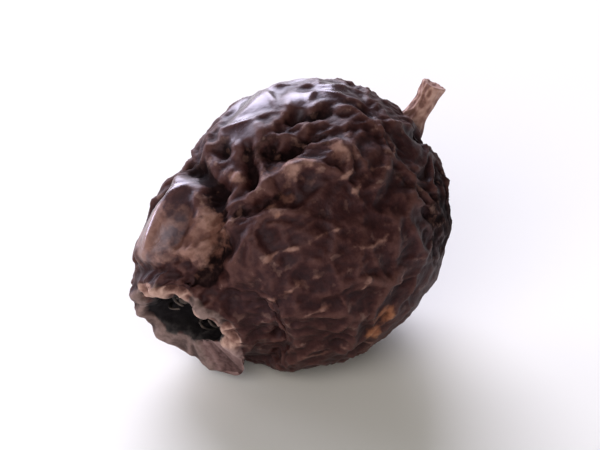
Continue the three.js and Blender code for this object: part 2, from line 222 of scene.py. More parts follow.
# The stalk: where it sits, its route and its radius along that route.
SEAT = (4.0, -0.15, 0.75)
STALK_PATH = [
    (3.2, -0.1, 0.4),
    SEAT,
    (4.38, -0.18, 0.98),
    (4.72, -0.2, 1.2),
    (4.97, -0.21, 1.43),
    (5.11, -0.22, 1.56),
]
STALK_RADII = [0.34, 0.44, 0.3, 0.28, 0.3, 0.32]
SEAT_DIMPLE = (0.75, -0.16)

# Puckers that run in to the crown and to the stalk's seat.
CROWN_PUCKERS = {"folds": 5, "height": 0.11, "drop": 0.05, "reach": 0.7, "bend": 0.7, "rounding": 0.2}
SEAT_PUCKERS = {"folds": 7, "height": 0.06, "out": 0.8, "reach": 0.45}
CROWN_HOLD = 0.45
TIP_HOLD = 0.4

# Spots on the skin: along, round, reach and share. Tan flesh shows through, or it is painted nearly black,
# partly its own dark skin and partly painted shade in hollows and on the shadowed side,
# or it is puffed up and pinker, or it is drawn smooth and shiny, with lower ridges.
TAN_SPOTS = [(-0.1, 104, 0.26, 1.0), (-0.5, 112, 0.34, 0.8), (-1.45, 32, 0.16, 0.5), (1.2, -160, 0.35, 0.8)]
DARK_AND_SHADE_SPOTS = [
    (2.9, 92, 1.3, 0.8),
    (-0.5, 8, 0.6, 0.6),
    (1.4, -110, 1.6, 0.5),
    (-1.08, -13, 0.24, 0.9),
    (0.8, 21, 0.3, 0.5),
]
PINK_SPOTS = [
    (-3.2, -20, 0.6, 0.9),
    (-3.0, 8, 0.65, 1.0),
    (-1.55, 3, 0.25, 0.8),
    (-0.4, 21, 0.5, 0.55),
    (0.02, 25, 0.25, 0.8),
    (-0.98, 29, 0.22, 0.8),
    (-1.45, 31, 0.25, 0.8),
    (0.85, 28, 0.4, 0.6),
]
SMOOTH_SPOTS = [
    (-2.5, -21, 0.45, 1.0),
    (-3.1, -19, 0.6, 1.0),
    (-0.3, -14, 0.6, 0.9),
    (0.6, -22, 0.9, 1.0),
    (1.35, -5, 0.55, 1.0),
    (2.3, -4, 0.65, 1.0),
    (2.0, -30, 1.0, 0.8),
]
SMOOTHING = 0.6
# Depth of the creases over which painted shade darkens them.
CREASE_SHADE_SPAN = (0.06, 0.34)

# The stalk's fine shape, and the rings that close a tip: way forward and share of the radius.
STALK_SIDES = 72
STALK_STEP = 0.035
STALK_RIBS = {"count": 7, "wind": 1.5, "height": 0.09, "rounding": 0.3}
STALK_BARK = {"spacing": 0.11, "seed": 71, "height": 0.012, "rounding": 0.2}
BARK_DRAWN_OUT = np.array([0.4, 1, 0.5])
# Low waves round a tube that make it uneven: how many, how far they wind along it and their height.
STALK_WAVES = [(3, 6, 0.08)]
THREAD_WAVES = [(2, 9, 0.12), (5, -4, 0.08)]
CUPPED_END = [(0.02, 0.95), (0.015, 0.78), (-0.03, 0.5), (-0.045, 0.2)]
ROUND_END = [(0.03, 0.75), (0.045, 0.4)]
STYLE_SIDES = 20
STYLE_STEP = 0.04
STAMEN_SIDES = 10
STAMEN_STEP = 0.04

# Marks for the materials: spans of relief (the grooves' painted shade follows it), of nearness to the lip
# and of distance out in the pit.
RELIEF_SPAN = (-0.2, 0.2)
STANDING_SPAN = (-0.035, 0.065)
STANDING_SHARE = 0.65
LEVELLING_ROUNDS = 14
DRY_LIP = (0.35, 0.85)
DRY_GAPS = {"spacing": 0.5, "seed": 91, "span": (-1.1, 0.3)}
PALE_LIP = {"round": 30, "half": 75, "fade": 30}
FLAP = {"round": 140, "half": 20, "fade": 22}
PIT_OUT = (1.16, 0.96)
COLLAR = {"share": 0.75, "out": 0.48, "reach": 0.16}

# Finishes. Each skin colour runs from its grooves to its crests; the darkening towards the grooves is
# painted shade, and the paler crests are partly the skin's own.
SKIN = [(0.0, (0.02, 0.006, 0.0056)), (0.45, (0.037, 0.0118, 0.0108)), (1.0, (0.084, 0.034, 0.029))]
WARM_SKIN = [(0.0, (0.02, 0.0054, 0.0044)), (0.45, (0.046, 0.0145, 0.0115)), (1.0, (0.105, 0.045, 0.036))]
# Nearly black skin; these colours also paint shade in creases, in hollows and on the shadowed side.
DARK_SKIN_AND_SHADE = [(0.0, (0.005, 0.002, 0.002)), (0.45, (0.014, 0.006, 0.006)), (1.0, (0.045, 0.024, 0.021))]
PINK_SKIN = [(0.0, (0.095, 0.038, 0.029)), (0.45, (0.17, 0.08, 0.06)), (1.0, (0.32, 0.18, 0.145))]
TAN_FLESH = [(0.0, (0.09, 0.03, 0.014)), (0.45, (0.26, 0.095, 0.045)), (1.0, (0.4, 0.19, 0.1))]
DULL_TISSUE = [(0.0, (0.03, 0.018, 0.016)), (0.45, (0.11, 0.072, 0.064)), (1.0, (0.26, 0.18, 0.165))]
FLAP_TISSUE = [(0.0, (0.07, 0.036, 0.034)), (0.45, (0.2, 0.12, 0.115)), (1.0, (0.38, 0.26, 0.25))]
DRY_TISSUE = [(0.0, (0.08, 0.034, 0.028)), (0.45, (0.25, 0.135, 0.11)), (1.0, (0.56, 0.37, 0.31))]
# The pit's floor is painted near black: partly its own dark tissue, partly painted shade of the deep
# recess.
PIT_SKIN_AND_SHADE = [(0.0, (0.004, 0.003, 0.003)), (0.5, (0.012, 0.010, 0.010)), (1.0, (0.05, 0.044, 0.042))]
# What lies over the plain skin, in order: the mark that says where, and its colours.
SKIN_LAYERS = [
    ("dark", DARK_SKIN_AND_SHADE),
    ("pink", PINK_SKIN),
    ("tan", TAN_FLESH),
    ("dull", DULL_TISSUE),
    ("flap", FLAP_TISSUE),
    ("dry", DRY_TISSUE),
    ("pit", PIT_SKIN_AND_SHADE),
]
# The stalk's colours also run from its grooves to its crests; the darker grooves are painted shade.
STALK_BARK_COLOURS = [(0.0, (0.2, 0.09, 0.07)), (0.5, (0.38, 0.2, 0.16)), (1.0, (0.55, 0.34, 0.28))]
ROOT_BARK = (0.05, 0.022, 0.018)
THREAD_ROOT = (0.012, 0.008, 0.007)
THREAD_TIP = (0.09, 0.062, 0.05)
# The faint lavender of the skin's reflections.
SHEEN_TINT = (0.86, 0.82, 1.0, 1.0)
# Noises: how fine each is, and how much smaller detail it has.
GRAIN_PER_MM = 7.0
GRAIN_DETAIL = 6.0
CLOUD_PER_MM = 0.45
PATCH_PER_MM = 3.0
PATCH_DETAIL = 5.0
PORES_PER_MM = 14.0
PORE_DETAIL = 4.0
PLAIN_DETAIL = 3.0
PORE_DEPTH = 0.012
# The part of a noise's range that is used, and what it adds to heights and to the edges of marks.
NOISE_SPAN = (0.3, 0.7)
CLOUD_SPAN = (0.35, 0.65)
SKIN_GRAIN = 0.16
STALK_GRAIN = 0.25
PATCHINESS = 0.3
MARK_EDGE = (0.2, 0.75)
# Shares of a tube's length over which its root's colour fades.
STALK_ROOT_FADE = (0.35, 0.6)
THREAD_ROOT_FADE = (0.3, 1)
# Shine and roughness of the plain skin, and how sleek, dark or shade-painted and dull skin differ from it.
SHINE = 0.2
SLEEK_SHINE = 1.0
DARK_SHINE_LOSS = 0.14
SATIN = (0.48, 0.58)
SLEEK_SMOOTHER = 0.27
DULL_ROUGHER = 0.3
BARK_ROUGHNESS = (0.75, 0.55)
THREAD_ROUGHNESS = 0.7
# Share of the pores that is left on sleek skin.
SLEEK_PORES = 0.3
# Sockets of a node that mixes two colours.
MIX_SHARE, MIX_FIRST, MIX_SECOND, MIX_RESULT = 0, 6, 7, 2

# The stage.
FLOOR_HALF = 1500
FLOOR_COLOUR = (0.9, 0.9, 0.86)
FLOOR_ROUGHNESS = 0.6
SKY_COLOUR = (1.0, 1.0, 1.0)
SKY_STRENGTH = 0.1
# Soft square lights: metres right, away and up from the berry as the camera sees it, size, power, colour.
COOL_LIGHT = (0.88, 0.86, 1.0)
WARM_LIGHT = (1.0, 0.94, 0.88)
LIGHTS = [
    ("window", -0.15, 0.53, 0.3, 0.46, 6.4, COOL_LIGHT),
    ("side", -0.46, 0.28, 0.11, 0.19, 1.3, COOL_LIGHT),
    ("front", -0.16, -0.45, 0.3, 0.5, 2.1, WARM_LIGHT),
]

# The view of the photograph, a long lens from the side of the calyx.
VIEW_AZIMUTH = math.radians(-39)
VIEW_ELEVATION = math.radians(34)
VIEW_DISTANCE = 0.3
FRAME_WIDTH = 0.016
SENSOR_WIDTH = 36
CLIP_START = 0.01


def draws(seed):
    """Seeded draws from 0 to 1."""
    state = seed
    while True:
        state = (state + 0x6D2B79F5) & 0xFFFFFFFF
        mixed = state
        mixed = ((mixed ^ (mixed >> 15)) * (mixed | 1)) & 0xFFFFFFFF
        mixed ^= (mixed + (((mixed ^ (mixed >> 7)) * (mixed | 61)) & 0xFFFFFFFF)) & 0xFFFFFFFF
        yield ((mixed ^ (mixed >> 14)) & 0xFFFFFFFF) / 2**32


def smooth(low, high, value):
    t = np.clip((value - low) / (high - low), 0, 1)
    return t * t * (3 - 2 * t)


def distance(points, place):
    return np.linalg.norm(points - np.asarray(place), axis=-1)


def waves(points, spacing, seed, count=WAVE_COUNT):
    """A random smooth field of unit size whose crests lie about the given spacing apart."""
    draw = draws(seed)
    total = np.zeros(len(points))
    for _ in range(count):
        z = 2 * next(draw) - 1
        turn = 2 * math.pi * next(draw)
        flat = math.sqrt(1 - z * z)
        way = np.array([flat * math.cos(turn), flat * math.sin(turn), z])
        total += np.cos(points @ way * math.pi / spacing + 2 * math.pi * next(draw))
    return total * math.sqrt(2 / count)


def ridged(value, rounding):
    return 1 - np.hypot(value, rounding)


def wrinkles(points, size):
    """Sharp wrinkles of unit height, about level on the whole."""
    return ridged(waves(points, size["spacing"], size["seed"]), size["rounding"]) - WAVE_LEVEL


def round_axis(along, out, angle):
    """A point at a distance along the axis and from it, at an angle round it."""
    return np.stack([along, -out * np.sin(angle), out * FLATNESS * np.cos(angle)], -1)


def egg_radius(along):
    share = along / HALF_LENGTH
    return HALF_WIDTH * np.sqrt(1 - share * share) * (1 + TAPER * share)


def on_egg(along, degrees):
    return round_axis(along, egg_radius(along), math.radians(degrees))


def net_seeds(size):
    """The seeds of a net's meshes, spread evenly over the egg and then shaken."""
    draw = draws(size["seed"])
    count = size["meshes"]
    seeds = []
    for i in range(count):
        even = 1 - (2 * i + 1) / count
        along = max(-1, min(1, even + 2 * (next(draw) - 0.5) / math.sqrt(count)))
        turn = i * GOLDEN_TURN + size["turn"] * (next(draw) - 0.5)
        out = math.sqrt(1 - along * along)
        seeds.append(HALVES * (along, out * math.cos(turn), out * math.sin(turn)))
    return seeds


def ridge_net(points, size):
    """Sharp ridges between the meshes of a net, about level on the whole."""
    nearest = np.full(len(points), np.inf)
    following = np.full(len(points), np.inf)
    for seed in net_seeds(size):
        far = distance(points, seed)
        following = np.minimum(following, np.maximum(far, nearest))
        nearest = np.minimum(nearest, far)
    edge = np.hypot(following - nearest, size["rounding"])
    return np.exp(-edge / size["reach"]) - size["level"]


def drawn_aside(points, reach=DRAWN_ASIDE, seeds=ASIDE_SEEDS, size=ASIDE_WAVES):
    """Where the skin was before it was drawn aside, so that nets and veins aren't regular."""
    fields = [waves(points, seed=seed, **size) for seed in seeds]
    return points + reach * np.stack(fields, -1)


def roughness(points):
    slope = ROUGH_UP * points[:, 2] + ROUGH_AHEAD * points[:, 0]
    return smooth(-ROUGH_SPAN, ROUGH_SPAN, waves(points, **ROUGH_WAVES) + slope)


def main_net(points):
    """Height of the main net of ridges at points of the egg."""
    drawn = drawn_aside(points)
    height = (NET_HEIGHT + NET_ROUGHER * roughness(points)) * ridge_net(drawn, NET)
    height += RUMPLE["height"] * wrinkles(drawn, RUMPLE)
    return height * (1 - SMOOTHING * spots(points, SMOOTH_SPOTS))


def fine_relief(points):
    """Height of the finer relief at points of the plain section."""
    drawn = drawn_aside(points)
    rough = roughness(points)
    height = (SMALL_NET_HEIGHT + SMALL_NET_ROUGHER * rough) * ridge_net(drawn, SMALL_NET)
    for size in WRINKLES:
        height += (size["height"] + size["rougher"] * rough) * wrinkles(drawn * DRAWN_OUT, size)
    return height


def to_path(points, places):
    """Distance from points to a path."""
    least = np.full(len(points), np.inf)
    for start, end in zip(places, places[1:]):
        line = end - start
        share = np.clip((points - start) @ line / (line @ line), 0, 1)
        least = np.minimum(least, distance(points, start + share[:, None] * line))
    return least


def swells(points):
    """Height of the large swells and hollows."""
    reach, height = SEAT_DIMPLE
    total = height * np.exp(-(distance(points, SEAT) / reach) ** 2)
    for along, degrees, reach, height in SWELLS + HOLLOWS:
        total += height * np.exp(-(distance(points, on_egg(along, degrees)) / reach) ** 2)
    return total


def folds(points):
    """Height of the long creases and folds."""
    total = np.zeros(len(points))
    for path, reach, height in FOLDS:
        places = [on_egg(*place) for place in path]
        total += height * np.exp(-(to_path(points, places) / reach) ** 2)
    return total


def veins(points):
    """Share of each point in the thin veins, which wander a little off their paths."""
    wandered = drawn_aside(points, VEIN_WANDER, VEIN_SEEDS, VEIN_WAVES)
    share = np.zeros(len(points))
    for path in VEINS:
        places = [on_egg(*place) for place in path]
        share = np.maximum(share, np.exp(-(to_path(wandered, places) / VEIN_REACH) ** 2))
    return share


def puckers(points, out, angle):
    crown = CROWN_PUCKERS
    bent = crown["folds"] * angle + crown["bend"] * np.sin(2 * angle)
    at_crown = np.where(points[:, 0] < 0, np.exp(-((out - CROWN_ROOT) / crown["reach"]) ** 2), 0)
    total = at_crown * (crown["height"] * ridged(np.cos(bent), crown["rounding"]) - crown["drop"])
    seat = SEAT_PUCKERS
    turn = np.arctan2(points[:, 2] - SEAT[2], points[:, 1] - SEAT[1])
    at_seat = np.exp(-((distance(points, SEAT) - seat["out"]) / seat["reach"]) ** 2)
    return total + at_seat * seat["height"] * np.cos(seat["folds"] * turn + np.sin(2 * turn))


def curve(places, step):
    """Even steps along a centripetal Catmull-Rom curve through places."""
    before = 2 * places[0] - places[1]
    after = 2 * places[-1] - places[-2]
    knots = [before, *places, after]
    dense = []
    for a, b, c, d in zip(knots, knots[1:], knots[2:], knots[3:]):
        ab, bc, cd = [math.sqrt(np.linalg.norm(q - p)) for p, q in ((a, b), (b, c), (c, d))]
        leaving = ((b - a) / ab - (c - a) / (ab + bc) + (c - b) / bc) * bc
        arriving = ((c - b) / bc - (d - b) / (bc + cd) + (d - c) / cd) * bc
        t = np.linspace(0, 1, CURVE_SAMPLES, endpoint=False)[:, None]
        square = (-3 * b + 3 * c - 2 * leaving - arriving) * t**2
        dense.append(b + leaving * t + square + (2 * b - 2 * c + leaving + arriving) * t**3)
    dense = np.concatenate([*dense, places[-1:]])
    run = np.concatenate([[0], np.cumsum(np.linalg.norm(np.diff(dense, axis=0), axis=1))])
    wanted = np.linspace(0, run[-1], round(run[-1] / step) + 1)
    return np.stack([np.interp(wanted, run, column) for column in dense.T], -1)


def body_section():
    """The skin's section from the crown's root to the tip under the stalk."""
    along = HALF_LENGTH * np.arange(FIRST_SHARE, 1, SHARE_STEP)
    places = np.stack([along, egg_radius(along)], -1)
    return curve(np.concatenate([places, [(HALF_LENGTH, 0)]]), BODY_STEP)


def crown_section():
    return curve(np.array(PIT + LIP, float), CROWN_STEP)


def near_lip(along, out):
    return np.exp(-((along - LIP_CREST[0]) ** 2 + (out - LIP_CREST[1]) ** 2) / LIP_REACH**2)


def degrees_from(angle, place):
    """How far an angle is from a place given in degrees, from -180 to 180 degrees."""
    return (np.degrees(angle) - place + 180) % 360 - 180


def knobs(angle):
    """Height of the knobs on the lip."""
    return KNOB_HEIGHT * sum(np.exp(-(degrees_from(angle, place) / KNOB_HALF) ** 2) for place in KNOBS)


def crown_points(along, out, angle):
    """The pit and the lip, with the sepals' remains and the knobs drawn out of the lip."""
    near = near_lip(along, out)
    spread = np.zeros(len(along))
    rise = knobs(angle)
    for degrees, half, spreads, rises in SEPALS:
        share = np.exp(-SEPAL_SHARPNESS * (degrees_from(angle, degrees) / half) ** 2)
        spread += share * spreads
        rise += share * rises
    between = np.maximum(0, 1 - spread / LIP_FULL_SPREAD)
    outer = smooth(LIP[0][1], LIP_CREST[1], out)
    spread *= outer - SEPAL_INWARDS * (1 - outer)
    radius = out + near * spread + UNROUND * np.sin(3 * angle + 1) * (out > UNROUND_FROM)
    return round_axis(along - near * (rise - LIP_NOTCH * between), radius, angle)


def body_points(along, out, angle):
    """The body: the egg's own points moved out or in along its normals. Also the height of the net."""
    points = round_axis(along, out, angle)
    normals = points / HALVES**2
    normals /= np.linalg.norm(normals, axis=1)[:, None]
    held = np.where(along < 0, smooth(0, CROWN_HOLD, out - CROWN_ROOT), smooth(0, TIP_HOLD, out))
    net = main_net(points)
    height = swells(points) + folds(points) + net + puckers(points, out, angle)
    return points + normals * (held * height)[:, None], net


def lean(points):
    """The crown's plane leans and hangs, and the lean dies away along the body."""
    near = smooth(*LEAN_ALONG, points[:, 0]) * smooth(*LEAN_OUT, np.hypot(points[:, 1], points[:, 2]))
    leaning = points.copy()
    leaning[:, 0] += near * (CROWN_LEAN[0] * points[:, 1] + CROWN_LEAN[1] * points[:, 2])
    leaning[:, 2] -= near * CROWN_DROP
    return leaning


def raised(points):
    """Turns the berry so that its stalk end is raised, and puts it over the floor."""
    x = points[:, 0] * math.cos(TILT) - points[:, 2] * math.sin(TILT) + MIDDLE_AHEAD
    z = points[:, 0] * math.sin(TILT) + points[:, 2] * math.cos(TILT) + MIDDLE_HEIGHT
    return np.stack([x, points[:, 1], z], -1)


def pressed(points, crest):
    """Presses the lowest skin flat on the floor, with its deeper grooves left."""
    depth = smooth(0, PRESSED_FADE, -points[:, 2])
    points[:, 2] = np.maximum(points[:, 2], LEFT_GROOVE * depth * (1 - crest) ** 2)
    return points


def closed_faces(rings, sides):
    """Triangles of a closed form: a point, rings of points, and a point."""
    side = np.arange(sides)
    beside = (side + 1) % sides
    last = 1 + rings * sides
    faces = [np.stack([0 * side, 1 + beside, 1 + side], -1)]
    for start in range(1, last - sides, sides):
        a, b = start + side, start + beside
        faces.append(np.stack([a, b, b + sides], -1))
        faces.append(np.stack([a, b + sides, a + sides], -1))
    faces.append(np.stack([last - sides + side, last - sides + beside, 0 * side + last], -1))
    return np.concatenate(faces)


def unit(vectors):
    return vectors / np.linalg.norm(vectors, axis=-1)[..., None]


def vertex_normals(points, faces):
    a, b, c = (points[faces[:, k]] for k in range(3))
    across = np.cross(b - a, c - a)
    total = np.zeros_like(points)
    for k in range(3):
        np.add.at(total, faces[:, k], across)
    return unit(total)


def spots(points, places):
    """Share of each point in a list of round spots on the skin."""
    share = np.zeros(len(points))
    for along, degrees, reach, most in places:
        share = np.maximum(share, most * np.exp(-(distance(points, on_egg(along, degrees)) / reach) ** 2))
    return share


def add_mesh(name, points, faces, marks, material):
    """A smooth mesh object whose points carry named marks for the material."""
    mesh = bpy.data.meshes.new(name)
    mesh.from_pydata((points * MM).tolist(), [], faces.tolist())
    mesh.polygons.foreach_set("use_smooth", np.ones(len(faces), bool))
    for key, values in marks.items():
        mark = mesh.attributes.new(key, "FLOAT", "POINT")
        mark.data.foreach_set("value", np.asarray(values, np.float32))
    mesh.materials.append(material)
    piece = bpy.data.objects.new(name, mesh)
    bpy.context.scene.collection.objects.link(piece)
    return piece


def add_piece(*parts):
    piece = add_mesh(*parts)
    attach(piece, "root")
    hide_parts("berry")


def plain_places(crown, body):
    """Distance along the axis, distance from it and angle round it, from the pit's middle to the tip."""
    rings = np.concatenate([crown[1:], body[:-1]])
    angles = 2 * math.pi * np.arange(SIDES) / SIDES
    along = np.concatenate([crown[:1, 0], np.repeat(rings[:, 0], SIDES), body[-1:, 0]])
    out = np.concatenate([[0], np.repeat(rings[:, 1], SIDES), [0]])
    angle = np.concatenate([[0], np.tile(angles, len(rings)), [0]])
    return along, out, angle


def lip_share(near, angle, arc):
    """Share of each point in an arc of the lip."""
    off = np.abs(degrees_from(angle, arc["round"]))
    return smooth(*DRY_LIP, near) * smooth(arc["half"] + arc["fade"], arc["half"], off)


def dry_gaps(plain):
    """Share that is left of the pale colour where it is broken by darker gaps."""
    return smooth(*DRY_GAPS["span"], waves(plain, DRY_GAPS["spacing"], DRY_GAPS["seed"]))


def collar_share(plain):
    """Where the skin is dry and pale round the foot of the stalk."""
    return COLLAR["share"] * np.exp(-((distance(plain, SEAT) - COLLAR["out"]) / COLLAR["reach"]) ** 2)


def standing_out(points, normals):
    """How far each point stands out of the skin round it, found by levelling the rings of points."""
    grid = points[1:-1].reshape(-1, SIDES, 3)
    level = grid
    for _ in range(LEVELLING_ROUNDS):
        before = np.concatenate([level[:1], level[:-1]])
        after = np.concatenate([level[1:], level[-1:]])
        level = (before + after + np.roll(level, 1, axis=1) + np.roll(level, -1, axis=1)) / 4
    apart = ((grid - level).reshape(-1, 3) * normals[1:-1]).sum(-1)
    return np.concatenate([[0], apart, [0]])


def skin():
    """The whole skin from the pit's middle over the lip and the body to the tip, with its marks."""
    crown, body = crown_section(), body_section()
    along, out, angle = plain_places(crown, body)
    crown_count = 1 + (len(crown) - 1) * SIDES
    on_crown = np.arange(len(along)) < crown_count
    plain = round_axis(along, out, angle)
    near = near_lip(along, out) * on_crown
    lip, tip = slice(0, crown_count), slice(crown_count, None)
    body_shape, net = body_points(along[tip], out[tip], angle[tip])
    shape = np.concatenate([crown_points(along[lip], out[lip], angle[lip]), body_shape])
    points = raised(lean(shape))
    fine = fine_relief(plain) * (1 - spots(plain, SMOOTH_SPOTS))
    vein = veins(plain) * ~on_crown
    fine += VEIN_HEIGHT * vein
    fine += near * LIP_CRUMPLE["height"] * wrinkles(plain, LIP_CRUMPLE)
    faces = closed_faces(len(crown) + len(body) - 2, SIDES)
    normals = vertex_normals(points, faces)
    points += normals * fine[:, None]
    # The crest mark: low relief gets the darker colours, as painted shade in the grooves, and high relief
    # the lighter ones.
    relief = smooth(*RELIEF_SPAN, fine + np.concatenate([near[lip] * knobs(angle[lip]), net]))
    standing = smooth(*STANDING_SPAN, standing_out(points, normals))
    crest = relief + STANDING_SHARE * (standing - relief)
    marks = {
        "crest": crest,
        "dry": np.maximum(lip_share(near, angle, PALE_LIP) * dry_gaps(plain), collar_share(plain)),
        "dull": smooth(*DRY_LIP, near),
        "flap": lip_share(near, angle, FLAP),
        # The pit mark: its near-black colour is partly painted shade.
        "pit": smooth(*PIT_OUT, out) * on_crown,
        # Nearly black skin together with painted shade: the shadowed side, pits in hollows and the deeper
        # creases.
        "dark": np.maximum(spots(plain, DARK_AND_SHADE_SPOTS), smooth(*CREASE_SHADE_SPAN, -folds(plain)) * ~on_crown),
        "pink": np.maximum(spots(plain, PINK_SPOTS), VEIN_PALENESS * vein),
        "tan": spots(plain, TAN_SPOTS),
        "sleek": spots(plain, SMOOTH_SPOTS),
    }
    return pressed(points, crest), faces, marks


def tube(knots, sides, step, end, uneven):
    """A closed tube along a curve. A knot is a place and a radius, end has the rings that close the tip,
    each as a way forward and a share of the radius, and uneven(share, angle) scales the radius."""
    line = curve(np.array(knots, float), step)
    way = unit(np.gradient(line[:, :3], axis=0))
    share = np.concatenate([np.linspace(0, 1, len(line)), np.ones(len(end))])
    tip = [np.append(line[-1, :3] + way[-1] * forward, line[-1, 3] * size) for forward, size in end]
    line = np.concatenate([line, tip])
    way = np.concatenate([way, np.repeat(way[-1:], len(end), axis=0)])
    side = unit(np.cross((0, 0, 1), way))
    up = np.cross(way, side)
    angle = 2 * math.pi * np.arange(sides) / sides
    radius = line[:, 3:] * uneven(share[:, None], angle[None, :])
    round_up = (radius * np.cos(angle))[..., None] * up[:, None]
    round_side = (radius * np.sin(angle))[..., None] * side[:, None]
    rings = line[:, None, :3] + round_up - round_side
    points = np.concatenate([line[:1, :3], rings.reshape(-1, 3), line[-1:, :3]])
    share = np.concatenate([[0], np.repeat(share, sides), [1]])
    return points, closed_faces(len(line), sides), share


def with_radii(path, radii):
    return [(*place, radius) for place, radius in zip(path, radii)]


def uneven_outline(share, angle, low_waves):
    return 1 + sum(height * np.sin(count * angle + wind * share) for count, wind, height in low_waves)


def stalk_outline(share, angle):
    """The stalk's uneven section, with ribs that wind a little along it."""
    ribs = ridged(np.cos(STALK_RIBS["count"] * angle + STALK_RIBS["wind"] * share), STALK_RIBS["rounding"])
    return uneven_outline(share, angle, STALK_WAVES) + STALK_RIBS["height"] * ribs


def stalk():
    knots = with_radii(STALK_PATH, STALK_RADII)
    points, faces, share = tube(knots, STALK_SIDES, STALK_STEP, CUPPED_END, stalk_outline)
    fine = STALK_BARK["height"] * wrinkles(points * BARK_DRAWN_OUT, STALK_BARK)
    points += vertex_normals(points, faces) * fine[:, None]
    marks = {"crest": smooth(-STALK_BARK["height"], STALK_BARK["height"], fine), "share": share}
    return raised(points), faces, marks


def joined(tubes):
    """Several closed tubes in one mesh."""
    starts = np.cumsum([0] + [len(points) for points, _, _ in tubes[:-1]])
    points = np.concatenate([points for points, _, _ in tubes])
    faces = np.concatenate([faces + start for (_, faces, _), start in zip(tubes, starts)])
    share = np.concatenate([share for _, _, share in tubes])
    return points, faces, share


def thread_outline(share, angle):
    return uneven_outline(share, angle, THREAD_WAVES)


def threads(all_knots, sides, step):
    """Dry threads in the pit, each a tube with a rounded end."""
    tubes = [tube(knots, sides, step, ROUND_END, thread_outline) for knots in all_knots]
    points, faces, share = joined(tubes)
    return raised(lean(points)), faces, {"share": share}


def stamen_knots():
    """Stubs of the stamens, rooted in the pit's wall and curled in towards its middle."""
    draw = draws(STAMENS["seed"])
    for i in range(STAMENS["count"]):
        turn = 2 * math.pi * (i + next(draw)) / STAMENS["count"]
        length = STAMENS["length"] * (0.5 + next(draw))
        twist = STAMEN_TWIST * (next(draw) - 0.5)
        root = STAMENS["along"] + STAMEN_BAND * next(draw)
        knots = []
        for k, (forward, outward) in enumerate(STAMEN_STEPS):
            out = STAMENS["out"] + length * outward
            place = round_axis(root - length * forward, out, turn + k * twist)
            knots.append((*place, STAMENS["radius"] * (1 - STAMEN_TAPER * k)))
        yield knots


class Shader:
    """A material with its shader, and short ways to add nodes to it."""

    def __init__(self, name, **values):
        self.material = bpy.data.materials.new(name)
        self.material.use_nodes = True
        self.tree = self.material.node_tree
        self.surface = self.tree.nodes["Principled BSDF"]
        for key, value in values.items():
            self.surface.inputs[key.replace("_", " ")].default_value = value

    def node(self, kind, inputs, **settings):
        """A node with its settings. Its inputs are linked where a socket is given, and set otherwise."""
        node = self.tree.nodes.new(kind)
        for key, value in settings.items():
            setattr(node, key, value)
        for key, value in inputs.items():
            if isinstance(value, bpy.types.NodeSocket):
                self.tree.links.new(value, node.inputs[key])
            else:
                node.inputs[key].default_value = value
        return node

    def drive(self, key, socket):
        self.tree.links.new(socket, self.surface.inputs[key])

    def mark(self, name):
        return self.node("ShaderNodeAttribute", {}, attribute_name=name).outputs["Fac"]

    def millimetres(self):
        place = self.node("ShaderNodeTexCoord", {}).outputs["Object"]
        return self.node("ShaderNodeVectorMath", {0: place, "Scale": 1 / MM}, operation="SCALE").outputs[0]

    def noise(self, per_mm, detail=PLAIN_DETAIL):
        inputs = {"Vector": self.millimetres(), "Scale": per_mm, "Detail": detail}
        return self.node("ShaderNodeTexNoise", inputs).outputs["Fac"]

    def span(self, value, low, high, to_low=0.0, to_high=1.0):
        """Value brought from one span to another, smoothly and held at its ends."""
        inputs = {"Value": value, "From Min": low, "From Max": high, "To Min": to_low, "To Max": to_high}
        return self.node("ShaderNodeMapRange", inputs, interpolation_type="SMOOTHSTEP").outputs["Result"]

    def math(self, operation, first, second):
        return self.node("ShaderNodeMath", {0: first, 1: second}, operation=operation).outputs[0]

    def patchy(self, name, patches):
        """A mark whose edges are broken up into patches."""
        return self.span(self.math("ADD", self.mark(name), patches), *MARK_EDGE)

    def ramp(self, value, stops):
        node = self.node("ShaderNodeValToRGB", {"Fac": value})
        elements = node.color_ramp.elements
        for position, _ in stops[2:]:
            elements.new(position)
        for element, (position, colour) in zip(elements, stops):
            element.position = position
            element.color = (*colour, 1)
        return node.outputs["Color"]

    def mix(self, share, first, second):
        """Two colours mixed. A colour is a socket or three numbers."""
        colours = [c if isinstance(c, bpy.types.NodeSocket) else (*c, 1) for c in (first, second)]
        inputs = {MIX_SHARE: share, MIX_FIRST: colours[0], MIX_SECOND: colours[1]}
        return self.node("ShaderNodeMix", inputs, data_type="RGBA").outputs[MIX_RESULT]

    def bump(self, height, depth):
        """Fine relief of a depth in millimetres."""
        node = self.node("ShaderNodeBump", {"Height": height, "Distance": depth * MM})
        self.drive("Normal", node.outputs["Normal"])


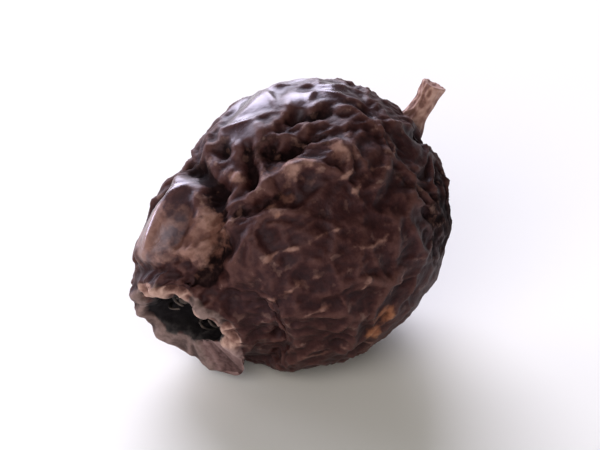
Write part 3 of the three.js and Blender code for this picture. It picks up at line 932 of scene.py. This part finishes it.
def skin_material():
    shader = Shader("dried_skin", Specular_Tint=SHEEN_TINT)
    grain = shader.noise(GRAIN_PER_MM, GRAIN_DETAIL)
    grained = shader.span(grain, *NOISE_SPAN, -SKIN_GRAIN, SKIN_GRAIN)
    # The colour ramps follow the crest mark: darker in the grooves, as painted shade.
    height = shader.math("ADD", shader.mark("crest"), grained)
    cloud = shader.noise(CLOUD_PER_MM)
    warm = shader.span(cloud, *CLOUD_SPAN)
    skin = shader.mix(warm, shader.ramp(height, SKIN), shader.ramp(height, WARM_SKIN))
    patches = shader.noise(PATCH_PER_MM, PATCH_DETAIL)
    patchy = shader.span(patches, *NOISE_SPAN, -PATCHINESS, PATCHINESS)
    shares = {name: shader.patchy(name, patchy) for name, _ in SKIN_LAYERS}
    for name, colours in SKIN_LAYERS:
        skin = shader.mix(shares[name], skin, shader.ramp(height, colours))
    shader.drive("Base Color", skin)
    sleek = shader.mark("sleek")
    shine = shader.span(sleek, 0, 1, SHINE, SLEEK_SHINE)
    loss = shader.span(shares["dark"], 0, 1, 0, DARK_SHINE_LOSS)
    shader.drive("Specular IOR Level", shader.math("SUBTRACT", shine, loss))
    smoother = shader.span(sleek, 0, 1, 0, SLEEK_SMOOTHER)
    satin = shader.math("SUBTRACT", shader.span(cloud, *NOISE_SPAN, *SATIN), smoother)
    rough = shader.math("MAXIMUM", shader.math("MAXIMUM", shares["dull"], shares["pit"]), shares["dark"])
    shader.drive("Roughness", shader.math("ADD", satin, shader.span(rough, 0, 1, 0, DULL_ROUGHER)))
    left = shader.span(sleek, 0, 1, 1, SLEEK_PORES)
    shader.bump(shader.math("MULTIPLY", shader.noise(PORES_PER_MM, PORE_DETAIL), left), PORE_DEPTH)
    return shader.material


def stalk_material():
    shader = Shader("dry_stalk")
    grain = shader.span(shader.noise(GRAIN_PER_MM, GRAIN_DETAIL), *NOISE_SPAN, -STALK_GRAIN, STALK_GRAIN)
    # The bark ramp follows the crest mark: darker in its grooves, as painted shade.
    height = shader.math("ADD", shader.mark("crest"), grain)
    root = shader.span(shader.mark("share"), *STALK_ROOT_FADE, 1, 0)
    shader.drive("Base Color", shader.mix(root, shader.ramp(height, STALK_BARK_COLOURS), ROOT_BARK))
    shader.drive("Roughness", shader.span(height, 0, 1, *BARK_ROUGHNESS))
    shader.bump(shader.noise(PORES_PER_MM, PORE_DETAIL), PORE_DEPTH)
    return shader.material


def thread_material():
    shader = Shader("dry_threads", Roughness=THREAD_ROUGHNESS)
    mottle = shader.span(shader.noise(GRAIN_PER_MM), *NOISE_SPAN)
    brown = shader.mix(mottle, THREAD_ROOT, THREAD_TIP)
    tip = shader.span(shader.mark("share"), *THREAD_ROOT_FADE)
    shader.drive("Base Color", shader.mix(tip, THREAD_ROOT, brown))
    shader.bump(shader.noise(PORES_PER_MM), PORE_DEPTH)
    return shader.material


def floor_material():
    return Shader("pale_floor", Base_Color=(*FLOOR_COLOUR, 1), Roughness=FLOOR_ROUGHNESS).material


def add_floor():
    half = FLOOR_HALF
    corners = np.array([(-half, -half, 0), (half, -half, 0), (half, half, 0), (-half, half, 0)])
    floor = add_mesh("floor", corners, np.array([(0, 1, 2, 3)]), {}, floor_material())


def aimed(thing, place, target):
    thing.location = place
    thing.rotation_euler = (Vector(target) - Vector(place)).to_track_quat("-Z", "Y").to_euler()
    bpy.context.scene.collection.objects.link(thing)


def view_axes():
    """The directions back to the camera, to the picture's right, and level away from the camera."""
    sine, cosine = math.sin(VIEW_AZIMUTH), math.cos(VIEW_AZIMUTH)
    level = math.cos(VIEW_ELEVATION)
    back = Vector((sine * level, -cosine * level, math.sin(VIEW_ELEVATION)))
    return back, Vector((cosine, sine, 0)), Vector((-sine, cosine, 0))


def add_light(name, right, away, up, size, watts, colour):
    """A soft square light, placed from the berry by the picture's own directions."""
    data = bpy.data.lights.new(name, "AREA")
    data.size = size
    data.energy = watts
    data.color = colour
    _, to_right, level_away = view_axes()
    place = to_right * right + level_away * away + Vector((0, 0, up))
    aimed(bpy.data.objects.new(name, data), place, middle)


def add_sky():
    world = bpy.data.worlds.new("sky")
    world.use_nodes = True
    world.node_tree.nodes["Background"].inputs["Color"].default_value = (*SKY_COLOUR, 1)
    world.node_tree.nodes["Background"].inputs["Strength"].default_value = SKY_STRENGTH
    bpy.context.scene.world = world


def add_camera():
    data = bpy.data.cameras.new("camera")
    data.sensor_width = SENSOR_WIDTH
    data.lens = SENSOR_WIDTH * VIEW_DISTANCE / FRAME_WIDTH
    data.clip_start = CLIP_START
    camera = bpy.data.objects.new("camera", data)
    aimed(camera, middle + view_axes()[0] * VIEW_DISTANCE, middle)
    bpy.context.scene.camera = camera


middle = sum((Vector(corner) for corner in cad_box), Vector()) / 2

add_camera()
add_piece("berry_skin", *skin(), skin_material())
add_piece("stalk_stub", *stalk(), stalk_material())
style_knots = [with_radii(path, radii) for path, radii in STYLES]
add_piece("style_ends", *threads(style_knots, STYLE_SIDES, STYLE_STEP), thread_material())
add_piece("stamen_stubs", *threads(list(stamen_knots()), STAMEN_SIDES, STAMEN_STEP), thread_material())
add_floor()
add_sky()
for light in LIGHTS:
    add_light(*light)
bpy.context.scene.view_settings.view_transform = "Standard"
